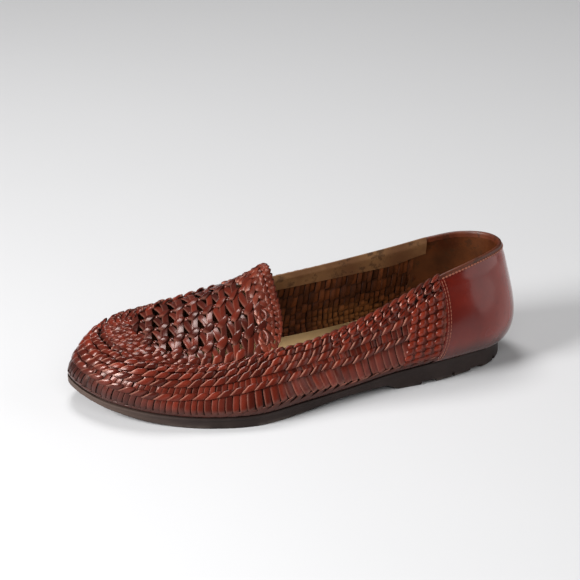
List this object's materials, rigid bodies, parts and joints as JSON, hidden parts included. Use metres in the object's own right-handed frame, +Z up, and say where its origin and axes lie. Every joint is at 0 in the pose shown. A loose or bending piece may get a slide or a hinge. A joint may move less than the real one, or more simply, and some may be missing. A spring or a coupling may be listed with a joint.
{
  "type": "woven loafer",
  "caption": "Left slip-on loafer with an upper of woven leather strips, an open-weave apron, a smooth heel counter and a low rubber sole.",
  "frame": {"origin": "middle of the shoe's box, on the floor that it stands on", "axes": "+X from the toe to the heel, +Y towards the inner side of the foot, +Z up"},
  "size_m": [0.2604, 0.097, 0.0708],
  "materials": {
    "sole_rubber": "dark brown moulded rubber, matt",
    "insole_leather": "tan sock leather, matt",
    "woven_leather": "polished red-brown leather strips, burnished dark towards the sole",
    "counter_leather": "smooth polished red-brown leather"
  },
  "bodies": {
    "root": {"outsole": "sole_rubber", "insole": "insole_leather", "upper": "woven_leather", "heel_counter": "counter_leather"}
  },
  "joints": []
}
